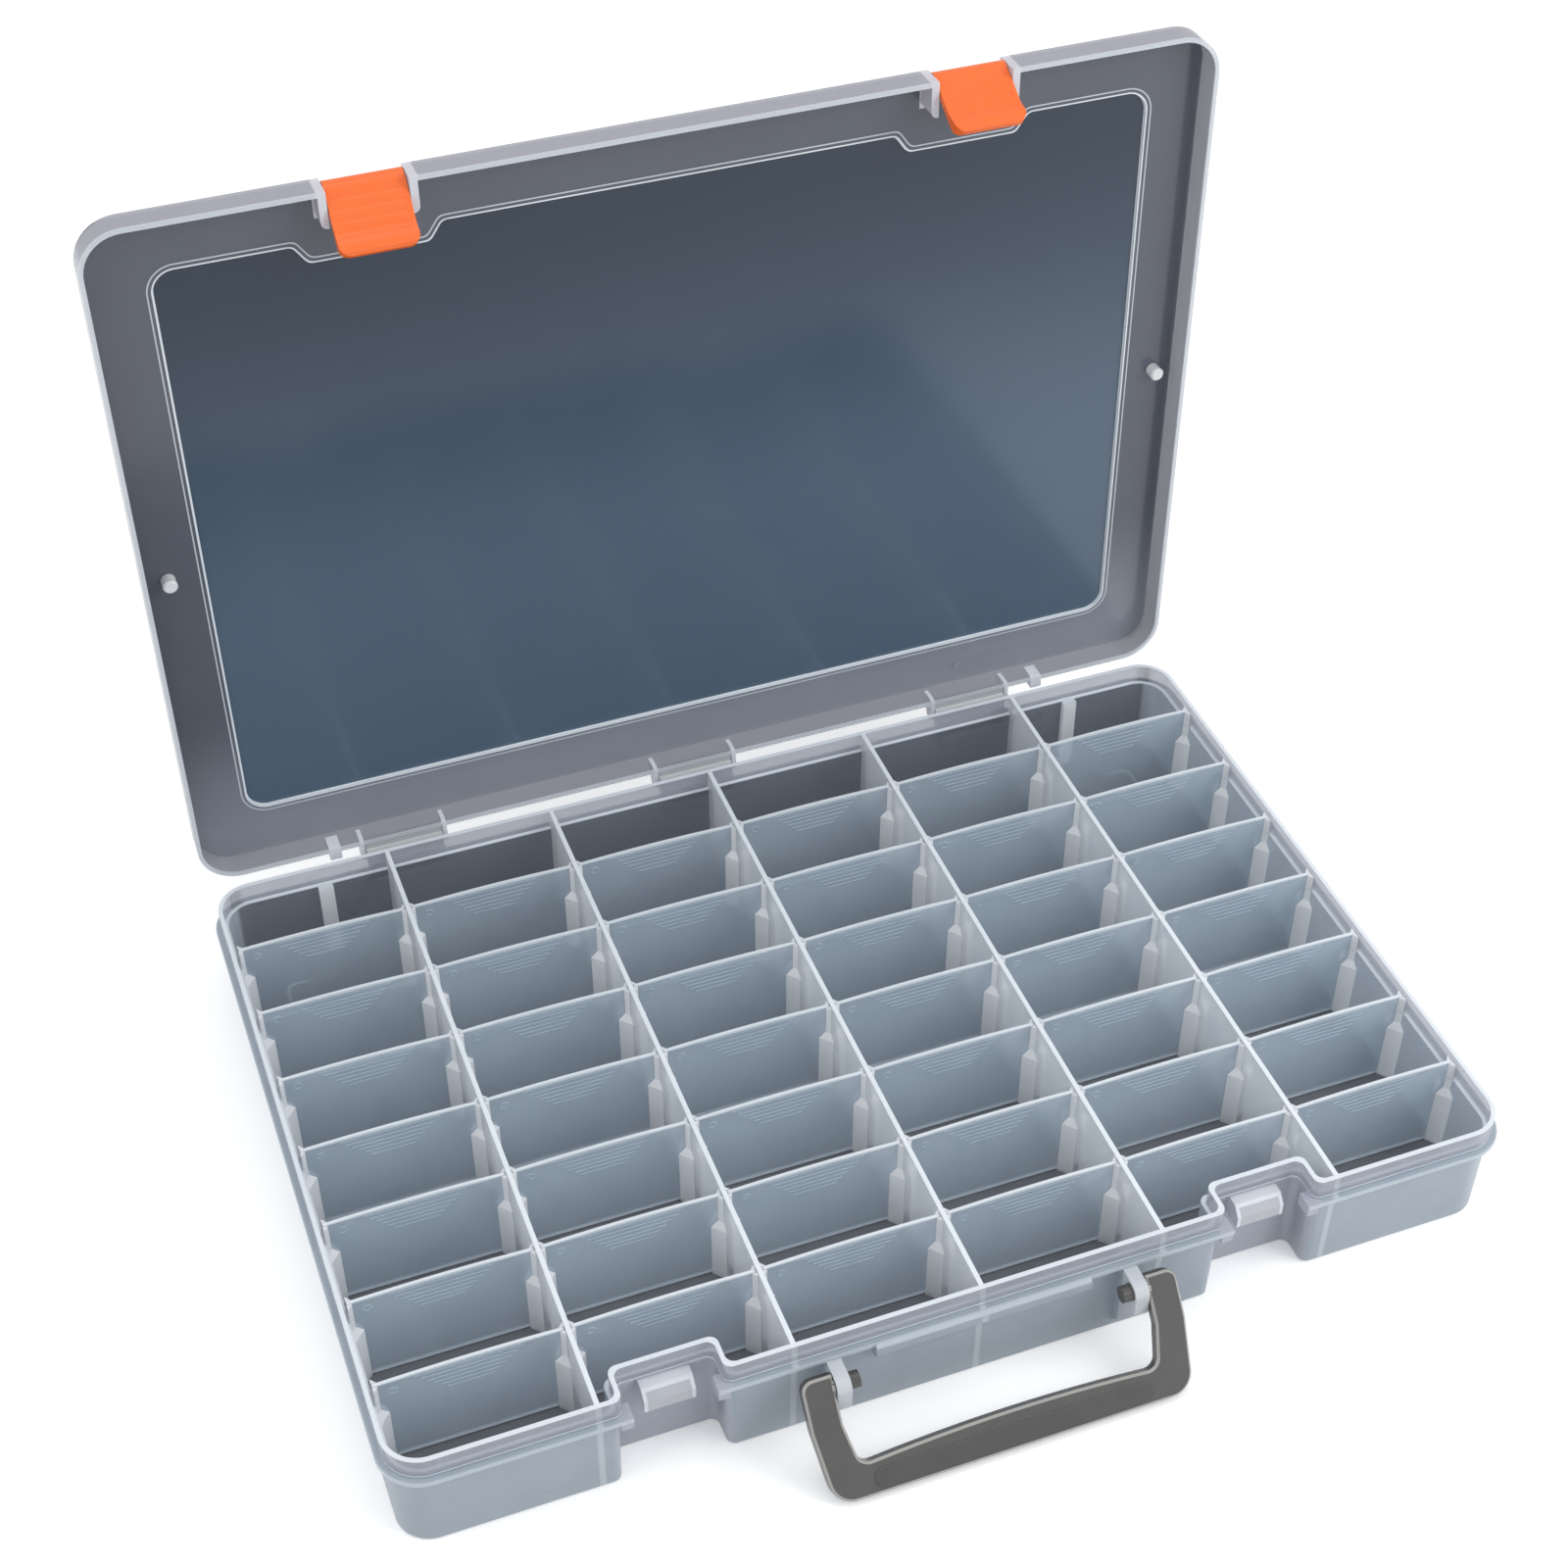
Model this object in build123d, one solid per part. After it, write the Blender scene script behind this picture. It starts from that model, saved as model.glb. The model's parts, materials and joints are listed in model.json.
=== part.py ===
from build123d import *
import math
import os

# Hinged 48-compartment parts organizer: a clear tray with moulded long walls, lift-out dividers,
# a lid on three snap hinges, two over-centre latches and a swinging carry handle.
# Millimetres. X runs along the front, Y to the back, Z up; the origin is the centre of the underside.

# ---------------------------------------------------------------- driving dimensions
columns = 6                 # compartments along X
rows = 8                    # compartments along Y
column_pitch = 62.4         # long wall to long wall
row_pitch = 32.4            # divider to divider
end_row_extra = -2.8        # how much longer each end row is than the pitch
tray_height = 43.5          # underside to the rim
floor_thick = 1.6
foot_height = 2.8           # floor raised inside the foot rim
foot_rib_half = 1.0         # half width of the ribs under the floor
foot_rim_width = 3.2
wall_thick = 1.6            # lower walls of the tray
wall_draft = 0.8            # degrees, outer faces of the tray
corner_radius = 10.0        # inside corners of the tray
base_bevel = 1.2            # bevel under the tray's outer edge
band_height = 7.5           # thin upper band that the lid slips over, above the inner step
band_step = 1.2             # how far the band stands out from the wall below it
band_thick = 1.5
ledge_thick = 1.5           # shelf round the tray that the lid closes on
ledge_reach = 2.0           # how far the shelf stands out past the band

running_gap = 0.3           # between parts that move past each other
slot_gap = 0.25             # each side of a divider in its slot

long_wall_foot = 2.0        # long wall thickness at the floor
long_wall_top = 1.6         # long wall thickness at the rim
post_reach = 4.2            # slot post, broad lower part, out from its wall
post_run = 4.6              # and along its wall
post_tip_reach = 1.7        # slim upper part
post_tip_run = 2.0
post_shoulder_z = 28.6      # where a post starts to narrow
post_neck_z = 31.0          # where it is slim
post_top_drop = 0.8         # post top below the rim
divider_lift = 0.5          # divider's foot above the floor
divider_thick = 1.1
divider_crown = 0.7         # rise of the divider's top edge at its middle

latch_offset = 101.0        # latch centre from the middle of the front
recess_half = 17.2          # latch recess in the front wall, half its width
recess_depth = 11.3
recess_round = 3.0
recess_overcut = 20.0        # recess plan runs on past the front wall
recess_mouth_half = 13.5    # gap between the shelf's two end tabs
tab_depth = 6.6
tab_height = 5.0
catch_half = 8.3
catch_reach = 6.4
catch_height = 8.0
catch_wall = 1.6
catch_drop = 0.5            # catch top below the shelf's top face

lid_depth_extra = 0.4       # rear skirt stands this much further back than the shelf
lid_skirt_thick = 1.5
lid_skirt_height = 10.8     # open edge to the outer face of the border
lid_panel_thick = 1.5
lid_edge_round = 1.2
window_margin = 20.0        # skirt to the raised window
window_raise = 1.2
window_radius = 9.0
window_notch_depth = 6.5
window_notch_half = 18.0
window_notch_slope = 4.5
window_notch_round = 3.0
peg_radius = 2.5             # pegs inside the lid's side borders
peg_height = 5.0
peg_inset = 9.2
peg_y = 3.4
ejector_radius = 1.4         # small round mark inside the rear border
ejector_x = 108.0
ejector_inset = 9.6

hinge_shift = -3.3          # middle hinge from the middle of the back
hinge_pitch = 113.5
hinge_length = 28.8         # tray barrel
hinge_axis_back = 5.3       # hinge axis behind the rear skirt
hinge_axis_up = 2.2         # hinge axis above the skirt's open edge
hinge_pin = 2.8
barrel_radius = 3.2
barrel_mouth = 2.3          # snap mouth of the barrel
arm_drop = 8.0              # foot of the hinge arm below the shelf's top
heel_lag = 23.5             # open stop on the barrel, degrees short of the lid's opening
heel_reach = 5.1
hinge_lug_thick = 1.6
hinge_lug_radius = 2.6
guard_lug_width = 4.4       # wide lugs outboard of the hinges
guard_lug_reach = 3.4
guard_lug_span = 280.8      # between the two wide lugs
guard_lug_shift = -1.9
guard_rib_height = 7.0
hinge_rib_height = 5.4
skirt_rib_raise = 0.3       # low ribs on the rear skirt's inner face
skirt_rib_start = 1.2
open_angle = 91.0           # lid from closed to the open stop

latch_width = 25.4
latch_plate = 2.4
latch_hub = 4.0             # radius round the latch pivot
latch_pin = 3.0
latch_ear_thick = 2.6
latch_ear_depth = 12.3
latch_ear_round = 2.2
latch_length = 25.5         # top of the hub to the free end
latch_lip = 1.4             # free end swells beyond the outer face
latch_lip_height = 3.4
latch_lip_slope = 3.6
latch_corner = 3.5          # rounded corners of the free end
latch_hook_half = 8.0
latch_hook_reach = 1.8      # hook past the pivot line
latch_hook_height = 2.4
latch_waves = 4
latch_wave_pitch = 3.6
latch_wave_radius = 3.0
latch_wave_depth = 0.14
latch_lean = {-1: 44.0, 1: 60.0}    # open latches lean forward, degrees from hanging

handle_pin_out = 9.2        # pivot out from the front wall
handle_pin_up = 29.5
handle_pin = 5.6
handle_pin_stub = 3.5       # pin end beyond its bracket
bracket_inner = 48.0        # brackets' inner faces from the middle
bracket_thick = 4.7
bracket_nose = 4.0          # radius round the pivot
bracket_front_z = 22.0      # straight front edge ends here
bracket_foot_z = 4.0
handle_arm_width = 10.4
handle_arm_straight = 12.0  # arm runs straight this far from the pivot
handle_taper = 2.6          # then leans in by this much at the bar
handle_thick = 5.0
handle_reach = 36.0         # pivot to the bar's outer edge
handle_bar_width = 10.5
handle_bar_crown = 2.0      # extra width at the middle of the bar
handle_eye = 4.2            # arm end beyond the pivot
handle_eye_round = 3.8
handle_corner = 8.0
handle_inner_corner = 4.0
handle_edge_bevel = 0.9
handle_pad_half = 47.0
handle_pad_width = 6.2
handle_pad_inset = 1.6
handle_pad_raise = 0.5
handle_rest_lift = 0.3      # bar above the surface that the tray stands on

lip_half = 36.5             # finger lip under the shelf
lip_height = 7.0
lip_reach = 1.3
back_rib_width = 5.3        # stiffening ribs inside the back wall
back_rib_reach = 2.4
back_rib_x = 149.0
corner_mark_leg = 10.0      # stacking marks on the floor, near the corners
corner_mark_width = 1.4
corner_mark_height = 0.6
corner_mark_inset = (15.0, 14.1)

# ---------------------------------------------------------------- sizes that follow
cavity_x = columns * column_pitch / 2 - long_wall_foot / 2
cavity_y = rows * row_pitch / 2 + end_row_extra - long_wall_foot / 2 + 0.4
floor_top = foot_height + floor_thick
step_z = tray_height - band_height
shelf_z = step_z - 1.0
band_grow = band_step + band_thick
shelf_grow = band_grow + ledge_reach
shelf_x = cavity_x + shelf_grow
shelf_y = cavity_y + shelf_grow
front_y = -(cavity_y + wall_thick)
recess_back = front_y + recess_depth

divider_length = column_pitch - long_wall_foot - 2 * running_gap
divider_foot = floor_top + divider_lift
divider_rows = [(j - (rows - 2) / 2) * row_pitch for j in range(rows - 1)]
column_centres = [(i - (columns - 1) / 2) * column_pitch for i in range(columns)]
long_wall_centres = [(i - (columns - 2) / 2) * column_pitch for i in range(columns - 1)]

lid_edge_z = shelf_z + running_gap
lid_top_z = lid_edge_z + lid_skirt_height
lid_x = shelf_x - 0.2
lid_front = -(shelf_y - 0.2)
lid_back = shelf_y - 0.2 + lid_depth_extra
lid_mid_y = (lid_front + lid_back) / 2
lid_half_y = (lid_back - lid_front) / 2
lid_radius = corner_radius + shelf_grow

hinge_y = lid_back + hinge_axis_back
hinge_z = lid_edge_z + hinge_axis_up
hinge_centres = [hinge_shift + i * hinge_pitch for i in (-1, 0, 1)]
lid_axis = Axis((0, hinge_y, hinge_z), (1, 0, 0))

latch_y = lid_front + latch_hub
latch_z = lid_top_z - latch_hub
latch_low = lid_top_z - latch_length
latch_opening = latch_width / 2 + running_gap

handle_y = front_y - handle_pin_out
bracket_outer = bracket_inner + bracket_thick
arm_inner = bracket_outer + running_gap
arm_outer = arm_inner + handle_arm_width
hole_gap = 0.2
post_start = long_wall_top / 2 - 0.05
slot_half = divider_thick / 2 + slot_gap


def block(x0, x1, y0, y1, z0, z1):
    """A box between two corners."""
    return Pos((x0 + x1) / 2, (y0 + y1) / 2, (z0 + z1) / 2) * Box(x1 - x0, y1 - y0, z1 - z0)


def side_profile(points, x0, x1):
    """A (y, z) outline extruded along X from x0 to x1."""
    face = make_face(Polyline(*[(0, y, z) for y, z in points], close=True))
    return Pos(x0, 0, 0) * extrude(face, amount=x1 - x0, dir=(1, 0, 0))


def rod(y, z, radius, x0, x1):
    """A round bar along X."""
    return Pos((x0 + x1) / 2, y, z) * Rot(0, 90, 0) * Cylinder(radius, x1 - x0)


# ---------------------------------------------------------------- tray
def tray_outline(grow):
    """The tray's plan, offset by grow from its inside, with the two latch recesses."""
    plan = RectangleRounded(2 * (cavity_x + grow), 2 * (cavity_y + grow), corner_radius + grow)
    half = recess_half + wall_thick - grow
    back = -(cavity_y + grow) + recess_depth
    reach = recess_depth + recess_overcut
    for side in (-1, 1):
        plan -= Pos(side * latch_offset, back - reach / 2) * Rectangle(2 * half, reach)
    corners = []
    for vertex in plan.vertices():
        if abs(abs(abs(vertex.X) - latch_offset) - half) < 0.01:
            corners.append(vertex)
    return fillet(corners, recess_round)


def tray_shell():
    """Floor, lower walls, shelf and upper band."""
    body = extrude(tray_outline(wall_thick), amount=shelf_z, taper=-wall_draft)
    body = chamfer(body.faces().sort_by(Axis.Z)[0].edges(), base_bevel)
    body += Pos(0, 0, shelf_z) * extrude(tray_outline(band_grow), amount=tray_height - shelf_z)
    body += shelf()
    body -= Pos(0, 0, floor_top) * extrude(tray_outline(0), amount=step_z - floor_top)
    body -= Pos(0, 0, step_z) * extrude(tray_outline(band_step), amount=band_height)
    return body - extrude(foot_hollows(), amount=foot_height)


def foot_hollows():
    """Plan of the hollows under the floor: inside the foot rim, between the ribs."""
    plan = tray_outline(wall_thick - foot_rim_width)
    for x in long_wall_centres:
        plan -= Pos(x, 0) * Rectangle(2 * foot_rib_half, 2 * shelf_y)
    return plan - Rectangle(2 * shelf_x, 2 * foot_rib_half)


def shelf():
    """The shelf that the lid closes on, with end tabs in each latch recess."""
    low = shelf_z - ledge_thick
    ring = Pos(0, 0, low) * extrude(RectangleRounded(2 * shelf_x, 2 * shelf_y, lid_radius), amount=ledge_thick)
    front = -shelf_y
    tab_back = front + tab_depth
    for side in (-1, 1):
        x = side * latch_offset
        ring -= block(x - recess_mouth_half, x + recess_mouth_half, front - 1, recess_back, low, shelf_z)
        ring -= block(x - recess_half, x + recess_half, tab_back, recess_back, low, shelf_z)
        for end in (-1, 1):
            inner, outer = sorted((x + end * recess_mouth_half, x + end * (recess_half + 0.3)))
            ring += block(inner, outer, front + 0.6, tab_back, shelf_z - tab_height, low)
    return ring


def catch(x):
    """The hollow catch that a latch hooks under."""
    top = shelf_z - catch_drop
    low = top - catch_height
    back = -(cavity_y + band_step - recess_depth)
    tip = -(cavity_y + band_grow - recess_depth) - catch_reach
    outline = [(back, top), (tip + 3.0, top), (tip, top - 3.4), (tip, low), (back, low)]
    hook = side_profile(outline, x - catch_half, x + catch_half)
    inner_back = recess_back
    return hook - block(x - catch_half + catch_wall, x + catch_half - catch_wall,
                        tip + catch_wall, inner_back - wall_thick, low - 1, low + catch_height * 0.45)


def post_plan(facing, side, reach, run, z):
    """Wedge-shaped plan of a slot post at one height."""
    corners = [(0, 0, z), (facing * reach, 0, z), (0, side * run, z)]
    return make_face(Polyline(*corners, close=True))


def slot_post(facing, side):
    """One slot post: a broad wedge below, a slim one above, with a sloping shoulder."""
    broad = post_plan(facing, side, post_reach, post_run, floor_top)
    shoulder = post_plan(facing, side, post_reach, post_run, post_shoulder_z)
    neck = post_plan(facing, side, post_tip_reach, post_tip_run, post_neck_z)
    top = tray_height - post_top_drop
    post = extrude(broad, amount=post_shoulder_z - floor_top, dir=(0, 0, 1))
    post += loft([shoulder, neck])
    return post + extrude(neck, amount=top - post_neck_z, dir=(0, 0, 1))


def slot_posts(x, facing):
    """All the posts on one wall face at x, a pair for each divider."""
    posts = []
    for side in (-1, 1):
        post = slot_post(facing, side)
        for y in divider_rows:
            posts.append(Pos(x, y + side * slot_half, 0) * post)
    return posts


def hinge_arm(x):
    """One snap hinge of the tray: an arm under the lid's skirt with an open barrel and a stop heel."""
    half = hinge_length / 2
    arm_top = shelf_z
    wall = cavity_y + wall_thick
    outline = [
        (wall, arm_top - arm_drop),
        (wall + 3.0, arm_top - arm_drop),
        (hinge_y + 1.0, hinge_z - barrel_radius),
        (hinge_y + 1.0, hinge_z),
        (hinge_y - barrel_radius, hinge_z),
        (hinge_y - barrel_radius, arm_top),
        (wall, arm_top),
    ]
    turn = math.radians(open_angle - heel_lag)
    tip_y = hinge_y + heel_reach * math.cos(turn)
    tip_z = hinge_z + heel_reach * math.sin(turn)
    heel = [(hinge_y - 1.6, hinge_z), (hinge_y - 1.6, tip_z), (tip_y, tip_z), (tip_y + 1.0, hinge_z)]
    arm = side_profile(outline, x - half, x + half) + rod(hinge_y, hinge_z, barrel_radius, x - half, x + half)
    arm += side_profile(heel, x - half, x + half)
    arm -= rod(hinge_y, hinge_z, hinge_pin / 2 + running_gap, x - half, x + half)
    mouth = barrel_mouth / 2
    arm -= block(x - half, x + half, hinge_y, hinge_y + 2 * barrel_radius, hinge_z - mouth, hinge_z + mouth)
    return arm


def bracket(side):
    """One ear of the front wall that carries the handle."""
    top = handle_pin_up + bracket_nose
    nose = handle_y - bracket_nose
    wall = front_y + 0.8
    outline = [(wall, top), (handle_y, top), (nose, handle_pin_up), (nose, bracket_front_z),
               (front_y - 0.4, bracket_foot_z), (wall, bracket_foot_z)]
    inner, outer = sorted((side * bracket_inner, side * bracket_outer))
    ear = side_profile(outline, inner, outer) + rod(handle_y, handle_pin_up, bracket_nose, inner, outer)
    return ear - rod(handle_y, handle_pin_up, handle_pin / 2 + hole_gap, inner - 1, outer + 1)


def finger_lip():
    """The thicker lip under the middle of the front shelf."""
    y = -shelf_y
    low = shelf_z - lip_height
    wall = front_y + 0.6
    outline = [(wall, low), (y + 0.6, low), (y - lip_reach, low + 2.4), (y - lip_reach, shelf_z - 1.0),
               (y - lip_reach + 1.0, shelf_z), (wall, shelf_z)]
    return side_profile(outline, -lip_half, lip_half)


def back_ribs():
    """Stiffening ribs inside the back wall, in the two corner compartments."""
    ribs = []
    for side in (-1, 1):
        x = side * back_rib_x
        half = back_rib_width / 2
        ribs.append(block(x - half, x + half, cavity_y - back_rib_reach, cavity_y, floor_top, step_z))
    return ribs


def corner_marks():
    """L-shaped raised marks on the floor near each corner."""
    marks = []
    w = corner_mark_width
    for sx in (-1, 1):
        for sy in (-1, 1):
            x = sx * (cavity_x - corner_mark_inset[0])
            y = sy * (cavity_y - corner_mark_inset[1])
            plan = RectangleRounded(2 * corner_mark_leg, 2 * corner_mark_leg, 4)
            plan -= RectangleRounded(2 * (corner_mark_leg - w), 2 * (corner_mark_leg - w), 4 - w)
            half = corner_mark_leg / 2
            plan &= Pos(sx * half, sy * half) * Rectangle(corner_mark_leg, corner_mark_leg)
            centre = (x - sx * corner_mark_leg, y - sy * corner_mark_leg, floor_top)
            marks.append(Pos(*centre) * extrude(plan, amount=corner_mark_height))
    return marks


def tray():
    """The moulded tray without its long walls."""
    body = tray_shell()
    extras = back_ribs() + corner_marks() + [finger_lip()]
    for side in (-1, 1):
        extras += slot_posts(side * cavity_x, -side)
        extras.append(catch(side * latch_offset))
        extras.append(bracket(side))
    for x in hinge_centres:
        extras.append(hinge_arm(x))
    return body.fuse(*extras)


# ---------------------------------------------------------------- long walls and dividers
def long_wall(x):
    """One long front-to-back wall with its divider slots."""
    foot, top = long_wall_foot / 2, long_wall_top / 2
    section = [(-foot, floor_top), (foot, floor_top), (top, tray_height), (-top, tray_height)]
    face = make_face(Polyline(*[(x + a, 0, z) for a, z in section], close=True))
    length = cavity_y + band_step
    wall = extrude(face, amount=length, dir=(0, 1, 0), both=True)
    for side in (-1, 1):
        near, far = sorted((side * cavity_y, side * (length + 1)))
        wall -= block(x - foot, x + foot, near, far, floor_top, step_z)
    posts = slot_posts(x - post_start, -1) + slot_posts(x + post_start, 1)
    return wall.fuse(*posts)


def divider(x, y):
    """One lift-out divider."""
    half = divider_length / 2
    crown = tray_height
    shoulder = crown - divider_crown
    low = divider_foot
    rim = ThreePointArc((half, 0, shoulder), (0, 0, crown), (-half, 0, shoulder))
    edge = Polyline((-half, 0, shoulder), (-half, 0, low + 1), (-half + 1, 0, low),
                    (half - 1, 0, low), (half, 0, low + 1), (half, 0, shoulder))
    plate = extrude(make_face([rim, edge]), amount=divider_thick / 2, dir=(0, 1, 0), both=True)
    return Pos(x, y, 0) * plate


# ---------------------------------------------------------------- lid, drawn closed
def window_outline(grow):
    """Plan of the raised window, stepped back round each latch."""
    half_x = lid_x - window_margin + grow
    half_y = lid_half_y - window_margin + grow
    plan = Pos(0, lid_mid_y) * RectangleRounded(2 * half_x, 2 * half_y, window_radius + grow)
    front = lid_mid_y - half_y
    notch = window_notch_half - grow
    for side in (-1, 1):
        x = side * latch_offset
        back = front + window_notch_depth
        wide = notch + window_notch_slope
        plan -= make_face(Polyline((x - wide, front), (x - notch, back), (x + notch, back), (x + wide, front),
                                   (x + wide, front - 5), (x - wide, front - 5), close=True))
        bends = [(x + end * reach, y) for end in (-1, 1) for reach, y in ((wide, front), (notch, back))]
        plan = round_corners(plan, bends, window_notch_round)
    return plan


def lid_shell():
    """Border panel, skirt and raised window."""
    top = lid_top_z - lid_panel_thick
    outer = Pos(0, lid_mid_y) * RectangleRounded(2 * lid_x, 2 * lid_half_y, lid_radius)
    t = lid_skirt_thick
    inner = Pos(0, lid_mid_y) * RectangleRounded(2 * (lid_x - t), 2 * (lid_half_y - t), lid_radius - t)
    body = Pos(0, 0, lid_edge_z) * extrude(outer, amount=lid_skirt_height)
    body = fillet(body.faces().sort_by(Axis.Z)[-1].edges(), lid_edge_round)
    body -= Pos(0, 0, lid_edge_z) * extrude(inner, amount=lid_skirt_height - lid_panel_thick)
    body += Pos(0, 0, top) * extrude(window_outline(0), amount=lid_panel_thick + window_raise)
    return body - Pos(0, 0, top) * extrude(window_outline(-lid_panel_thick), amount=window_raise)


def latch_ear(x, end):
    """One ear beside a latch, rounded where it nears the corner of the tray's recess."""
    back = lid_front + latch_ear_depth
    top = lid_top_z - 0.4
    outline = [(lid_front, lid_edge_z), (lid_front, latch_z), (lid_front + 1.2, top), (back, top),
               (back, lid_edge_z)]
    inner, outer = sorted((x + end * latch_opening, x + end * (latch_opening + latch_ear_thick)))
    ear = side_profile(outline, inner, outer)
    edge = ear.edges().filter_by(Axis.Z).sort_by(lambda e: e.center().Y + end * e.center().X)[-1]
    return fillet(edge, latch_ear_round)


def latch_station(body, side):
    """Opens the skirt for one latch and adds its ears and pin."""
    x = side * latch_offset
    body -= block(x - latch_opening, x + latch_opening, lid_front - 1, latch_y + latch_hub + running_gap,
                  lid_edge_z, lid_top_z)
    for end in (-1, 1):
        body += latch_ear(x, end)
    reach = latch_opening + latch_ear_thick / 2
    return body + rod(latch_y, latch_z, latch_pin / 2, x - reach, x + reach)


def hinge_lugs(x):
    """Two lugs and the pin that snap into one barrel of the tray, with low ribs inside the skirt."""
    inner = lid_back - lid_skirt_thick / 2
    outline = [(inner, lid_edge_z + 0.3), (hinge_y, hinge_z - hinge_lug_radius),
               (hinge_y, hinge_z + hinge_lug_radius), (inner, lid_top_z - lid_edge_round)]
    start = hinge_length / 2 + running_gap
    pieces = []
    for side in (-1, 1):
        near, far = sorted((x + side * start, x + side * (start + hinge_lug_thick)))
        pieces.append(side_profile(outline, near, far))
        pieces.append(rod(hinge_y, hinge_z, hinge_lug_radius, near, far))
        pieces.append(skirt_rib(near, far, hinge_rib_height))
    reach = start + hinge_lug_thick / 2
    pieces.append(rod(hinge_y, hinge_z, hinge_pin / 2, x - reach, x + reach))
    return pieces


def skirt_rib(x0, x1, height):
    """A low rib on the inner face of the rear skirt."""
    face = lid_back - lid_skirt_thick
    low = lid_edge_z + skirt_rib_start
    return block(x0, x1, face - skirt_rib_raise, face + 0.1, low, lid_edge_z + height)


def guard_lugs():
    """The two wide lugs outboard of the hinges."""
    pieces = []
    for side in (-1, 1):
        x = guard_lug_shift + side * guard_lug_span / 2
        x0, x1 = x - guard_lug_width / 2, x + guard_lug_width / 2
        pieces.append(block(x0, x1, lid_back - 0.2, lid_back + guard_lug_reach, lid_edge_z, lid_edge_z + 5.6))
        pieces.append(skirt_rib(x0, x1, guard_rib_height))
    return pieces


def lid():
    """The whole lid, turned to its open stop."""
    body = lid_shell()
    for side in (-1, 1):
        body = latch_station(body, side)
    extras = guard_lugs()
    for x in hinge_centres:
        extras += hinge_lugs(x)
    for side in (-1, 1):
        z = lid_top_z - lid_panel_thick
        x = side * (lid_x - peg_inset)
        peg = chamfer(Cylinder(peg_radius, peg_height + 0.4).faces().sort_by(Axis.Z)[0].edges(), 0.6)
        extras.append(Pos(x, peg_y, z - peg_height / 2 + 0.2) * peg)
    mark = Cylinder(ejector_radius, 0.8)
    extras.append(Pos(ejector_x, lid_back - ejector_inset, lid_top_z - lid_panel_thick) * mark)
    return body.fuse(*extras).rotate(lid_axis, -open_angle)


# ---------------------------------------------------------------- latches
def latch(side):
    """One latch, drawn closed, then hung from the open lid."""
    x = side * latch_offset
    half = latch_width / 2
    face = latch_y - latch_hub
    inner = face + latch_plate
    lip_top = latch_low + latch_lip_height
    hub = rod(latch_y, latch_z, latch_hub, x - half, x + half)
    outline = [(face, latch_z), (face, lip_top + latch_lip_slope), (face - latch_lip, lip_top),
               (face - latch_lip, latch_low + 1.0), (face - latch_lip + 1.0, latch_low),
               (inner - 0.8, latch_low), (inner, latch_low + 0.8), (inner, latch_z)]
    tall = latch_z + latch_hub + latch_corner - latch_low
    upright = Plane(origin=(x, latch_y, latch_low + tall / 2), x_dir=(1, 0, 0), z_dir=(0, -1, 0))
    front = upright * RectangleRounded(latch_width, tall, latch_corner)
    body = (hub + side_profile(outline, x - half, x + half)) & extrude(front, amount=2 * latch_hub, both=True)
    edges = body.edges().filter_by(Axis.X).group_by(Axis.Z)[0]
    body = fillet(edges, 0.6)
    catch_low = shelf_z - catch_drop - catch_height
    hook_top = catch_low - running_gap
    tip = latch_y + latch_hook_reach
    hook = [(inner - 0.4, hook_top), (tip, hook_top), (tip, hook_top - 0.9),
            (inner - 0.4, hook_top - latch_hook_height - 1.6)]
    body += side_profile(hook, x - latch_hook_half, x + latch_hook_half)
    for i in range(latch_waves):
        z = lip_top + 4.2 + i * latch_wave_pitch
        centre = face - latch_wave_radius + latch_wave_depth
        body -= rod(centre, z, latch_wave_radius, x - half + 1.6, x + half - 1.6)
    body -= rod(latch_y, latch_z, latch_pin / 2 + running_gap, x - half, x + half)
    body = body.rotate(lid_axis, -open_angle)
    pin = Vector(0, latch_y - hinge_y, latch_z - hinge_z).rotate(Axis.X, -open_angle)
    pivot = Axis((0, hinge_y + pin.Y, hinge_z + pin.Z), (1, 0, 0))
    return body.rotate(pivot, open_angle - latch_lean[side])


# ---------------------------------------------------------------- handle
def handle_rest_angle():
    """How far below level the handle lies when its bar rests on the surface."""
    drop = handle_pin_up - handle_rest_lift
    half = handle_thick / 2
    span = math.hypot(handle_reach, half)
    return math.degrees(math.asin(drop / span) - math.atan2(half, handle_reach))


def handle_plan():
    """Outline of the bail: two arms that lean in towards a crowned bar."""
    inner_edge = handle_reach - handle_bar_width
    bar_outer = arm_outer - handle_taper
    bar_inner = arm_inner - handle_taper
    right = [(bar_outer, -handle_reach), (arm_outer, -handle_arm_straight), (arm_outer, handle_eye),
             (arm_inner, handle_eye), (arm_inner, -handle_arm_straight), (bar_inner, -inner_edge)]
    left = [(-x, y) for x, y in reversed(right)]
    crown = ThreePointArc(right[-1], (0, handle_bar_crown - inner_edge), left[0])
    plan = make_face([Polyline(*left, *right), crown])
    plan = round_corners(plan, [right[0], left[-1]], handle_corner)
    plan = round_corners(plan, [right[-1], left[0]], handle_inner_corner)
    plan = round_corners(plan, [right[1], left[-2]], handle_arm_straight)
    return round_corners(plan, [right[2], left[-3]], handle_eye_round)


def round_corners(plan, points, radius):
    """Rounds the corners of a plan that lie at the given points."""
    corners = []
    for vertex in plan.vertices():
        for x, y in points:
            if math.hypot(vertex.X - x, vertex.Y - y) < 0.01:
                corners.append(vertex)
    return fillet(corners, radius)


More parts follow.
